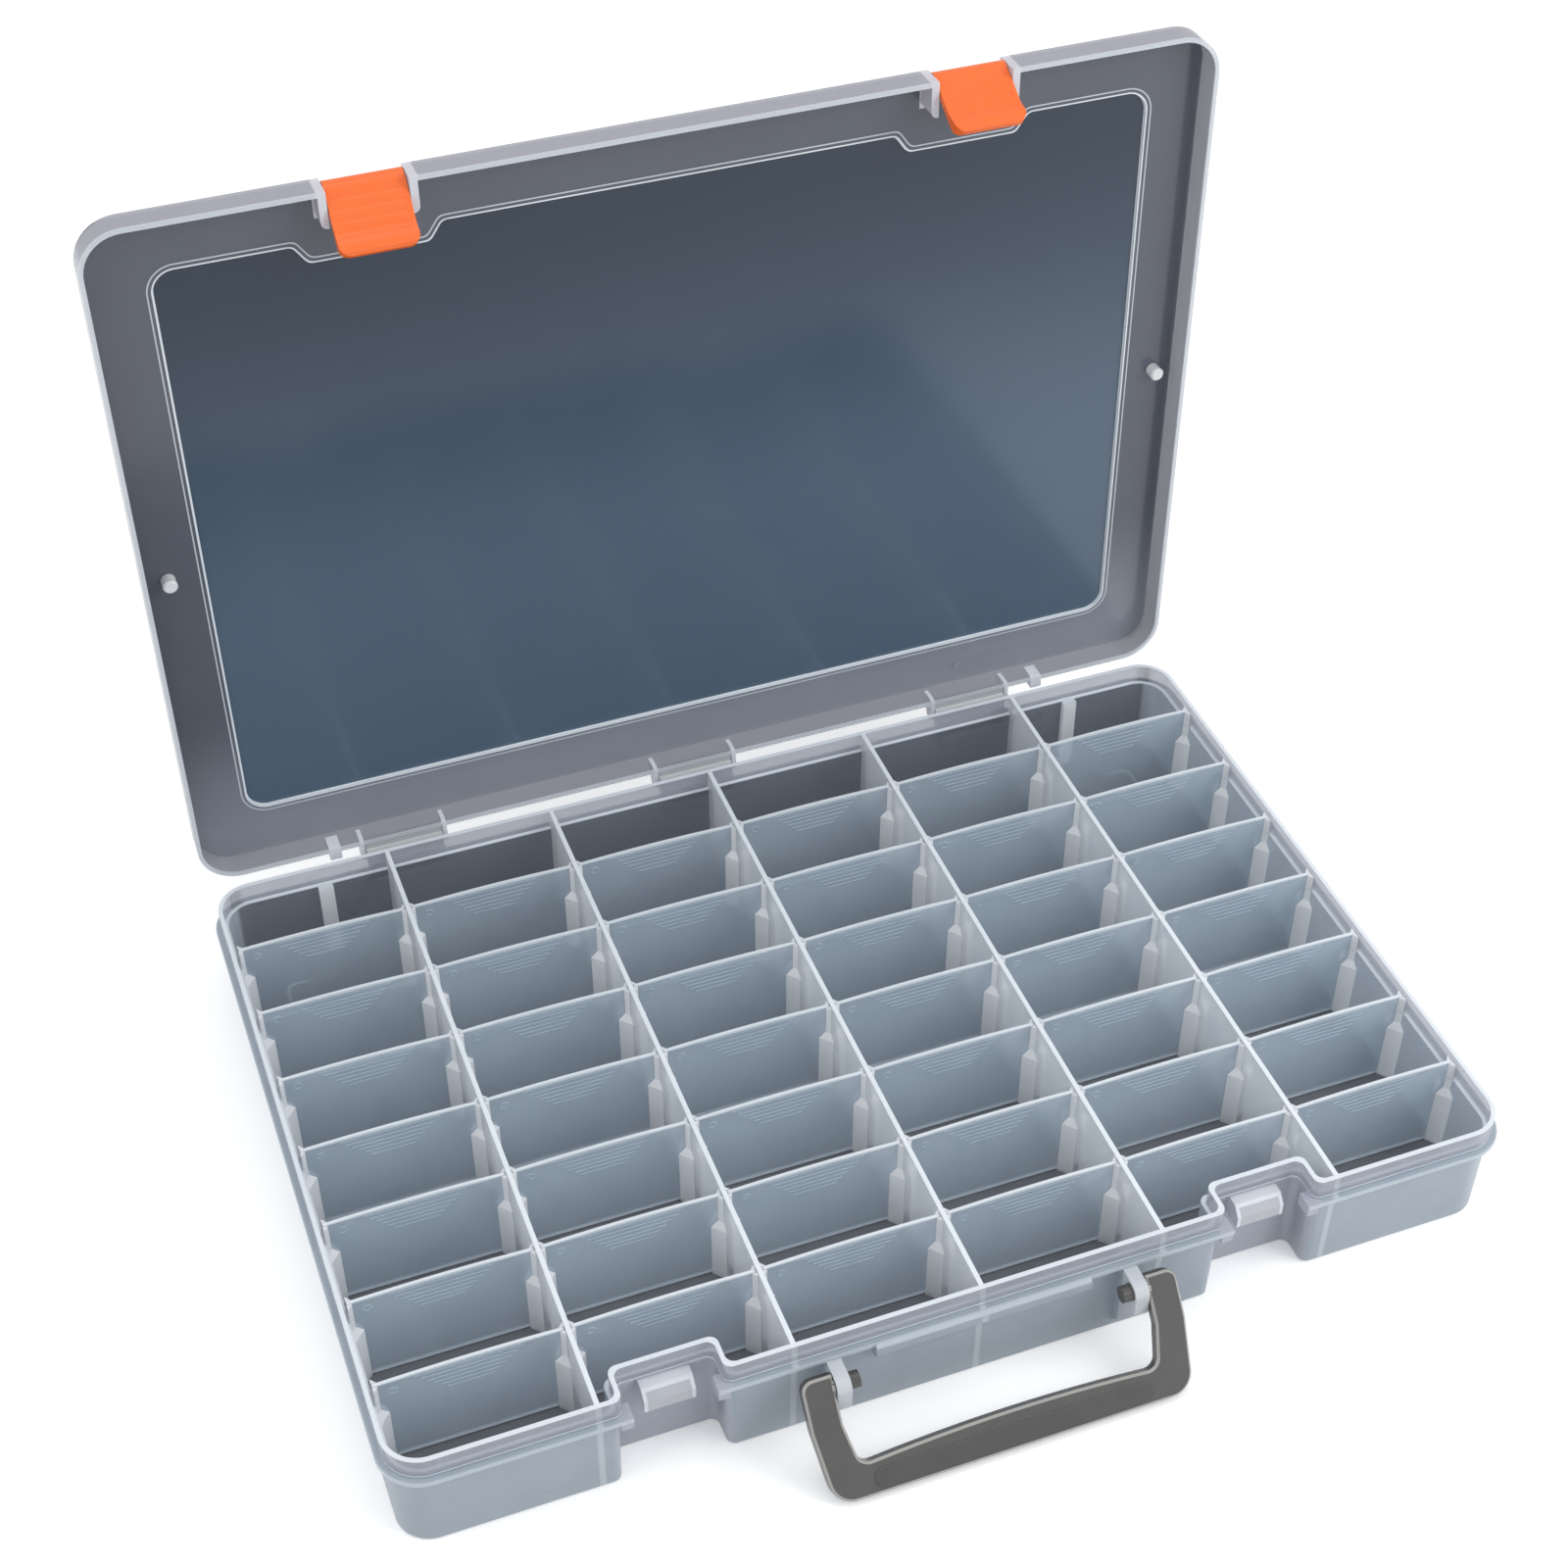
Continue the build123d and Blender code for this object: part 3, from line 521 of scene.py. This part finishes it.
@dataclass(frozen=True)
class LidPlastic:
    """Clear polypropylene, injection moulded: a polished window in a paler, satin border; the window's dark
    tone is painted shade and its paler part by the hinges a painted reflection.
    """

    # The hinge's place is in metres and the angle in degrees. Lengths below are millimetres on the shut lid.
    hinge: tuple[float, float, float]
    open_angle: float
    window: tuple[float, float] = (169.2, 109.4)
    window_y: float = 0.2
    window_radius: float = 7.5
    notch_x: float = 101.0
    notch_half: float = 19.5
    notch_back: float = -102.7
    notch_slope: float = 0.69
    corner_blend: float = 2.4
    # The window's painted highlight line and the fainter one outside it: distance from the outline, and half
    # width.
    outline: tuple[tuple[float, float], ...] = ((0.1, 0.5), (1.8, 0.32))
    # Where a change of tone starts, along Y, and how far it runs; on the window this is a painted reflection.
    hinge_fade: tuple[float, float] = (60.0, 68.0)
    reflection_fade: tuple[float, float] = (-110.0, 150.0)
    # The panel's inner face and the skirt's open edge, as heights on the shut lid.
    panel: float = 44.6
    edge: float = 35.3
    edge_line: float = 1.0
    skirt: tuple[float, float] = (188.9, 129.2)
    ear_x: float = 14.3
    ear_half: float = 1.8
    ear_back: float = -117.5
    peg_x: tuple[float, float] = (170.0, 187.9)
    peg_y: float = 3.4
    peg_half: float = 5.0
    # Middle and half width of each hinge lug, along X.
    lugs: tuple[tuple[float, float], ...] = (
        (-132.3, 0.8), (-101.3, 0.8), (-18.8, 0.8), (12.2, 0.8), (94.7, 0.8), (125.7, 0.8),
        (-142.3, 2.2), (138.5, 2.2))
    lug_start: float = 128.0
    lug_drop: float = 1.6
    cloud: float = 20.0
    # How much light the border's face, its skirt and the window stop.
    border_opacity: tuple[float, float] = (0.9, 0.75)
    window_opacity: float = 0.93
    roughness: tuple[float, float] = (0.1, 0.18)
    ior: float = 1.46
    relief: tuple[float, float] = (9.0, 0.01)

    def window_reach(self, skin: Surface) -> Socket:
        """Measure how far a point lies outside the window's outline, in millimetres.

        Args:
            skin: the surface being made.

        Returns:
            The distance, negative inside the window.
        """
        plain = skin.beyond(self.window, self.window_radius, self.window_y)
        # The outline steps back round each latch, with sloping flanks and rounded corners.
        depth = add_node(skin.tree, MATH, (self.notch_back, skin.y), operation="SUBTRACT")
        width = add_node(skin.tree, MATH, (depth, self.notch_slope, self.notch_half),
                         operation="MULTIPLY_ADD")
        flank = add_node(skin.tree, MATH, (width, skin.off(skin.across, self.notch_x)), operation="SUBTRACT")
        square = 1 / math.hypot(1.0, self.notch_slope)
        flank = add_node(skin.tree, MATH, (flank, square), operation="MULTIPLY")
        notch = add_node(skin.tree, MATH, (depth, flank, self.corner_blend), operation="SMOOTH_MIN")
        return add_node(skin.tree, MATH, (plain, notch, self.corner_blend), operation="SMOOTH_MAX")

    def material(self) -> bpy.types.Material:
        """Make the lid's plastic."""
        skin = Surface("clear_polypropylene_lid", self.open_angle, self.hinge)
        skirt_x, skirt_y = self.skirt
        reach = self.window_reach(skin)
        skin.clouds(self.cloud, Tone.LID_BORDER, Tone.LID_BORDER_CLOUD)
        start, length = self.hinge_fade
        hinge_side = skin.where((skin.y, start, None), soft=length)
        skin.paint(Tone.LID_HINGE_SIDE, hinge_side)
        # The window was polished in the mould; its dark tone is painted shade, standing in for a dark
        # backdrop seen through it, and its paler part by the hinges is a painted reflection of the
        # compartments.
        window = skin.where((reach, None, HAIR))
        skin.paint(Tone.LID_WINDOW_SHADE, window)
        start, length = self.reflection_fade
        skin.paint(Tone.LID_WINDOW_REFLECTION, skin.where(window, skin.where((skin.y, start, None), soft=length)))
        outside = skin.either(skin.where((skin.across, skirt_x, None)),
                              skin.where((skin.along, skirt_y, None)))
        raised = skin.where((skin.z, None, self.panel - HAIR), soft=0.3)
        rim = skin.either(outside, raised)
        skin.paint(Tone.LID_SKIRT, rim)
        skin.paint(Tone.LID_BORDER, skin.where(rim, hinge_side), share=0.25)
        # Latch ears, pegs and hinge lugs are thick lumps of the same plastic and look milky white.
        beside_ear = skin.off(skin.off(skin.across, self.notch_x), self.ear_x)
        ear = skin.where((beside_ear, None, self.ear_half), (skin.y, None, self.ear_back), soft=0.4)
        peg = skin.where(raised, (skin.across, *self.peg_x),
                         (skin.off(skin.y, self.peg_y), None, self.peg_half), soft=1.0)
        skin.paint(Tone.LID_EAR, ear)
        skin.paint(Tone.POST, peg, share=0.8)
        lug = skin.either(*[skin.where((skin.off(skin.x, middle), None, half + HAIR))
                            for middle, half in self.lugs])
        behind = skin.where((skin.y, self.lug_start, None), soft=0.6)
        lug = skin.where(lug, behind, (skin.z, None, self.panel - self.lug_drop))
        # Painted highlights where light runs out along sharp edges: the window's double outline, the hinge
        # lugs and the skirt's open edge.
        bright, faint = (skin.where((skin.off(reach, at), None, half)) for at, half in self.outline)
        skirt_edge = skin.where((skin.z, None, self.edge + self.edge_line), soft=0.5)
        skin.paint(Tone.EDGE_HIGHLIGHT, skin.either(bright, lug))
        skin.paint(Tone.EDGE_HIGHLIGHT, skin.either(faint, skirt_edge), share=0.7)
        opacity = skin.either(skin.level(rim, *self.border_opacity),
                              skin.level(window, 0.0, self.window_opacity))
        return skin.finish(opacity, None, self.roughness, self.ior, self.relief)


@dataclass(frozen=True)
class LatchPlastic:
    """Orange polypropylene, injection moulded: satin, with faint flow clouds."""

    cloud: float = 7.0
    roughness: tuple[float, float] = (0.32, 0.4)
    ior: float = 1.49
    relief: tuple[float, float] = (0.9, 0.02)

    def material(self) -> bpy.types.Material:
        """Make the latches' plastic."""
        skin = Surface("orange_polypropylene_latch")
        # Pigment follows the melt, which gives clouds of a few millimetres.
        skin.clouds(self.cloud, Tone.LATCH, Tone.LATCH_CLOUD)
        return skin.finish(None, None, self.roughness, self.ior, self.relief)


@dataclass(frozen=True)
class HandlePlastic:
    """Warm grey ABS, injection moulded with a fine spark finish: darker faces, and paler edges that are
    painted highlights.
    """

    # The pivot's place is in metres and the angle in degrees. Lengths below are in millimetres.
    pivot: tuple[float, float, float]
    rest_angle: float = 50.04
    arm_inner: float = 52.9
    pin_reach: float = 6.0
    half_thick: float = 2.5
    # Painted highlights on the bevel and pad border: limits above the bar's top face, and how softly they
    # end.
    highlight_bands: tuple[tuple[float, float, float], ...] = ((-0.9, 0.02, 0.15), (0.05, 0.48, 0.1))
    cloud: float = 9.0
    roughness: tuple[float, float] = (0.24, 0.33)
    ior: float = 1.53
    relief: tuple[float, float] = (0.7, 0.02)

    def material(self) -> bpy.types.Material:
        """Make the handle's plastic."""
        skin = Surface("grey_abs_handle", -self.rest_angle, self.pivot)
        skin.clouds(self.cloud, Tone.HANDLE, Tone.HANDLE_CLOUD)
        # Painted highlights on the bevels and the thumb pad's border.
        top = self.pivot[2] / MM + self.half_thick
        bevel_highlight = skin.either(*[skin.where((skin.z, top + low, top + high), soft=soft)
                             for low, high, soft in self.highlight_bands])
        off_pins = skin.either(skin.where((skin.across, self.arm_inner, None)),
                               skin.where((skin.y, None, self.pivot[1] / MM - self.pin_reach)))
        skin.paint(Tone.HANDLE_HIGHLIGHT, skin.where(bevel_highlight, off_pins), share=0.85)
        return skin.finish(None, None, self.roughness, self.ior, self.relief)


def dress(node: bpy.types.Object, material: bpy.types.Material) -> None:
    """Put one material in every slot of a node.

    Args:
        node: the carried-over node.
        material: its finish.
    """
    if not node.material_slots:
        node.data.materials.append(material)
    for slot in node.material_slots:
        slot.material = material


def joint_place(name: str) -> tuple[float, float, float]:
    """Find where a joint turns, in metres."""
    return next(tuple(joint["pos_m"]) for joint in frame["joints"] if joint["name"] == name)


@dataclass
class Tray:
    """The tray and the long walls moulded with it."""

    long_walls: int = 5
    plastic: TrayPlastic = field(default_factory=TrayPlastic)

    def dress(self, nodes: Nodes) -> int:
        """Give the tray's nodes their plastic.

        Args:
            nodes: carried-over nodes by name.

        Returns:
            How many nodes there are.
        """
        dress(nodes["tray"], self.plastic.tray())
        material = self.plastic.long_wall()
        for number in range(1, self.long_walls + 1):
            dress(nodes[f"long_wall_{number}"], material)
        return self.long_walls + 1


@dataclass
class GripMarks:
    """Raised grip lines and a ring mark near the top of a divider's front face, in millimetres."""

    lines: int = 6
    pitch: float = 1.9
    line_width: float = 0.6
    line_rise: float = 0.22
    top_width: float = 34.0
    bottom_width: float = 15.0
    top_drop: float = 1.8
    ring_radius: float = 1.3
    ring_inset: float = 6.0
    ring_drop: float = 3.4
    ring_thick: float = 0.28
    line_sides: int = 6
    ring_sides: int = 14

    def tree(self, material: bpy.types.Material) -> bpy.types.GeometryNodeTree:
        """Build the tree that lays the marks on one divider.

        Args:
            material: the plastic of the marks.

        Returns:
            The node group, with the marks' place, sizes and count as its inputs.
        """
        group = bpy.data.node_groups.new("divider_grip_marks", "GeometryNodeTree")
        sizes = (("Place", "NodeSocketVector", (0, 0, 0)), ("Lines", "NodeSocketInt", self.lines),
                 ("Pitch", "NodeSocketFloat", self.pitch * MM),
                 ("Top Width", "NodeSocketFloat", self.top_width * MM),
                 ("Bottom Width", "NodeSocketFloat", self.bottom_width * MM),
                 ("Line Radius", "NodeSocketFloat", self.line_width / 2 * MM),
                 ("Ring Radius", "NodeSocketFloat", self.ring_radius * MM),
                 ("Ring Thickness", "NodeSocketFloat", self.ring_thick * MM),
                 ("Ring Across", "NodeSocketFloat", 0.0),
                 ("Ring Drop", "NodeSocketFloat", self.ring_drop * MM))
        for name, kind, default in sizes:
            group.interface.new_socket(name, in_out="INPUT", socket_type=kind).default_value = default
        group.interface.new_socket("Geometry", in_out="OUTPUT", socket_type="NodeSocketGeometry")
        given = add_node(group, "NodeGroupInput").node.outputs
        # One row of points down the plate, each carrying a bar that is shorter than the one above.
        down = add_node(group, "ShaderNodeCombineXYZ",
                        {2: add_node(group, MATH, (given["Pitch"], -1.0), operation="MULTIPLY")})
        rows = add_node(group, "GeometryNodeMeshLine", {"Count": given["Lines"], "Offset": down})
        last = add_node(group, MATH, (given["Lines"], 1.0), operation="SUBTRACT")
        share = add_node(group, MATH, (add_node(group, "GeometryNodeInputIndex"), last), operation="DIVIDE")
        width = add_node(group, RANGE,
                         {"Value": share, "To Min": given["Top Width"], "To Max": given["Bottom Width"]})
        stretch = add_node(group, "ShaderNodeCombineXYZ", (width, 1.0, 1.0))
        line = add_node(group, "GeometryNodeCurvePrimitiveLine", {"Start": (-0.5, 0, 0), "End": (0.5, 0, 0)})
        section = add_node(group, "GeometryNodeCurvePrimitiveCircle",
                           {"Resolution": self.line_sides, "Radius": given["Line Radius"]})
        bar = add_node(group, "GeometryNodeCurveToMesh",
                       {"Curve": line, "Profile Curve": section, "Fill Caps": True})
        bar = add_node(group, "GeometryNodeTransform",
                       {"Geometry": bar, "Scale": (1.0, self.line_rise * 2 / self.line_width, 1.0)})
        bars = add_node(group, "GeometryNodeInstanceOnPoints",
                        {"Points": rows, "Instance": bar, "Scale": stretch})
        circle = add_node(group, "GeometryNodeCurvePrimitiveCircle",
                          {"Resolution": self.ring_sides, "Radius": given["Ring Radius"]})
        thread = add_node(group, "GeometryNodeCurvePrimitiveCircle",
                          {"Resolution": self.line_sides, "Radius": given["Ring Thickness"]})
        ring = add_node(group, "GeometryNodeCurveToMesh", {"Curve": circle, "Profile Curve": thread})
        fall = add_node(group, MATH, (given["Ring Drop"], -1.0), operation="MULTIPLY")
        away = add_node(group, "ShaderNodeCombineXYZ", {0: given["Ring Across"], 2: fall})
        ring = add_node(group, "GeometryNodeTransform",
                        {"Geometry": ring, "Translation": away, "Rotation": (math.pi / 2, 0, 0)})
        joined = add_node(group, "GeometryNodeJoinGeometry", (bars,))
        group.links.new(ring, joined.node.inputs[0])
        placed = add_node(group, "GeometryNodeTransform", {"Geometry": joined, "Translation": given["Place"]})
        solid = add_node(group, "GeometryNodeRealizeInstances", (placed,))
        add_node(group, "NodeGroupOutput", (add_node(group, "GeometryNodeSetMaterial",
                                                     {"Geometry": solid, "Material": material}),))
        return group

    def lay(self, name: str, tree: bpy.types.GeometryNodeTree) -> None:
        """Lay the marks on one divider and keep them as a plain mesh that rides on it.

        Args:
            name: the divider's node.
            tree: the marks' node group.
        """
        low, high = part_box(name)
        values = {"Place": Vector(((low.x + high.x) / 2, low.y, high.z - self.top_drop * MM)),
                  "Ring Across": (low.x - high.x) / 2 + self.ring_inset * MM}
        carrier = bpy.data.objects.new(f"{name}_carrier", bpy.data.meshes.new(f"{name}_carrier"))
        bpy.context.scene.collection.objects.link(carrier)
        modifier = carrier.modifiers.new("layout", "NODES")
        modifier.node_group = tree
        keys = {item.name: item.identifier for item in tree.interface.items_tree if item.in_out == "INPUT"}
        for size, value in values.items():
            modifier[keys[size]] = value
        graph = bpy.context.evaluated_depsgraph_get()
        mesh = bpy.data.meshes.new_from_object(carrier.evaluated_get(graph), depsgraph=graph)
        bpy.data.objects.remove(carrier)
        piece = bpy.data.objects.new(f"{name}_marks", mesh)
        bpy.context.scene.collection.objects.link(piece)
        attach(piece, name)


@dataclass
class Dividers:
    """The lift-out plates between the compartments, with the marks moulded on them."""

    columns: int = 6
    rows: int = 7
    marks: GripMarks = field(default_factory=GripMarks)
    plastic: DividerPlastic = field(default_factory=DividerPlastic)

    def build(self, nodes: Nodes) -> int:
        """Dress the dividers and lay the moulded marks on each.

        Args:
            nodes: carried-over nodes by name.

        Returns:
            How many dividers there are.
        """
        material = self.plastic.material()
        tree = self.marks.tree(material)
        for column in range(1, self.columns + 1):
            for row in range(1, self.rows + 1):
                name = f"divider_{column}_{row}"
                dress(nodes[name], material)
                self.marks.lay(name, tree)
        return self.columns * self.rows


@dataclass
class Lid:
    """The lid, hinged on the back of the tray and shown open."""

    hinge: tuple[float, float, float]
    open_angle: float = 91.0

    def dress(self, nodes: Nodes) -> int:
        """Give the lid its plastic, and return how many nodes it has."""
        dress(nodes["lid"], LidPlastic(self.hinge, self.open_angle).material())
        return 1


@dataclass
class Latches:
    """The two snap latches on the lid's front edge."""

    sides: tuple[str, str] = ("left", "right")
    plastic: LatchPlastic = field(default_factory=LatchPlastic)

    def dress(self, nodes: Nodes) -> int:
        """Give both latches their plastic.

        Args:
            nodes: carried-over nodes by name.

        Returns:
            How many latches there are.
        """
        material = self.plastic.material()
        for side in self.sides:
            dress(nodes[f"latch_{side}"], material)
        return len(self.sides)


@dataclass
class Handle:
    """The carrying handle, leaning forward from its brackets."""

    pivot: tuple[float, float, float]

    def dress(self, nodes: Nodes) -> int:
        """Give the handle its plastic, and return how many nodes it has."""
        dress(nodes["handle"], HandlePlastic(self.pivot).material())
        return 1


@dataclass
class Studio:
    """Pale floor, soft lamps and the camera."""

    # The camera's place in metres, its turn in degrees, and its lens and sensor in millimetres.
    camera_at: tuple[float, float, float] = (-0.23234, -0.57321, 0.70208)
    camera_turn: tuple[float, float, float] = (47.974, -0.014, -20.519)
    lens: float = 60.11
    sensor_width: float = 36.0
    # How far the camera sees, half the floor's side, and what the lamps look at, in metres.
    clip_end: float = 200.0
    floor_half: float = 30.0
    look_at: tuple[float, float, float] = (0.0, 0.0, 0.1)
    # Each lamp's name, its place and side in metres, and its power in watts.
    lamps: tuple[tuple[str, tuple[float, float, float], float, float], ...] = (
        ("key_lamp", (0.95, -0.75, 0.8), 0.9, 9.5), ("side_lamp", (-1.4, -0.1, 0.9), 1.0, 5.0),
        ("top_lamp", (-0.2, 0.1, 2.0), 1.4, 7.0))
    air_strength: float = 0.8
    white_lift: float = 0.18

    def build(self) -> None:
        """Set up the whole studio."""
        self.floor()
        self.air()
        for name, at, size, power in self.lamps:
            self.lamp(name, at, size, power)
        self.camera()
        bpy.context.scene.view_settings.view_transform = "Standard"

    def seen(self, tree: bpy.types.NodeTree) -> Socket:
        """Mark the rays that look at a surface straight, in a reflection or through a clear wall."""
        rays = add_node(tree, "ShaderNodeLightPath").node.outputs
        seen = rays["Is Camera Ray"]
        for ray in ("Is Glossy Ray", "Is Transmission Ray"):
            seen = add_node(tree, MATH, (seen, rays[ray]), use_clamp=True)
        return seen

    def floor(self) -> None:
        """Lay a plain pale floor, white to the eye and in reflections, a little greyer as a bounce."""
        half = self.floor_half
        mesh = bpy.data.meshes.new("studio_floor")
        corners = [(-half, -half, 0), (half, -half, 0), (half, half, 0), (-half, half, 0)]
        mesh.from_pydata(corners, [], [(0, 1, 2, 3)])
        floor = bpy.data.objects.new("studio_floor", mesh)
        bpy.context.scene.collection.objects.link(floor)
        material = bpy.data.materials.new("matt_floor")
        material.use_nodes = True
        tree = material.node_tree
        tree.nodes.clear()
        seen = self.seen(tree)
        colour = add_node(tree, MIX, {0: seen, 6: Tone.STUDIO_FLOOR, 7: Tone.STUDIO_WHITE}, 2,
                          data_type="RGBA")
        matt = add_node(tree, "ShaderNodeBsdfDiffuse", {"Color": colour})
        lift = add_node(tree, "ShaderNodeEmission",
                        {"Strength": add_node(tree, MATH, (seen, self.white_lift), operation="MULTIPLY")})
        add_node(tree, "ShaderNodeOutputMaterial", (add_node(tree, "ShaderNodeAddShader", (matt, lift)),))
        mesh.materials.append(material)

    def air(self) -> None:
        """Fill the room with even, pale light."""
        world = bpy.data.worlds.new("studio_air")
        world.use_nodes = True
        bpy.context.scene.world = world
        tree = world.node_tree
        tree.nodes.clear()
        seen = self.seen(tree)
        colour = add_node(tree, MIX, {0: seen, 6: Tone.STUDIO_AIR, 7: Tone.STUDIO_WHITE}, 2, data_type="RGBA")
        strength = add_node(tree, RANGE, {"Value": seen, "To Min": self.air_strength})
        add_node(tree, "ShaderNodeOutputWorld", (add_node(tree, "ShaderNodeBackground", (colour, strength)),))

    def lamp(self, name: str, at: tuple[float, float, float], size: float, power: float) -> None:
        """Hang one soft square lamp that looks at the tray.

        Args:
            name: the lamp's name.
            at: where it hangs, in metres.
            size: its side, in metres.
            power: its power, in watts.
        """
        data = bpy.data.lights.new(name, "AREA")
        data.size = size
        data.energy = power
        lamp = bpy.data.objects.new(name, data)
        lamp.location = at
        lamp.rotation_euler = (Vector(self.look_at) - Vector(at)).to_track_quat("-Z", "Y").to_euler()
        bpy.context.scene.collection.objects.link(lamp)

    def camera(self) -> None:
        """Set up the camera."""
        data = bpy.data.cameras.new("camera")
        data.lens = self.lens
        data.sensor_width = self.sensor_width
        data.clip_end = self.clip_end
        camera = bpy.data.objects.new("camera", data)
        camera.location = self.camera_at
        camera.rotation_euler = [math.radians(angle) for angle in self.camera_turn]
        bpy.context.scene.collection.objects.link(camera)
        bpy.context.scene.camera = camera


def main() -> None:
    """Build the classes in order."""
    logging.basicConfig(level=logging.INFO, format="%(name)s: %(message)s")
    nodes = frame["nodes"]
    Studio().build()
    log.info("studio ready")
    log.info("tray and long walls: %d nodes", Tray().dress(nodes))
    log.info("dividers: %d nodes", Dividers().build(nodes))
    log.info("lid: %d node", Lid(joint_place("lid_hinge")).dress(nodes))
    log.info("latches: %d nodes", Latches().dress(nodes))
    log.info("handle: %d node", Handle(joint_place("handle_pivot")).dress(nodes))


if __name__ == "__main__":
    main()
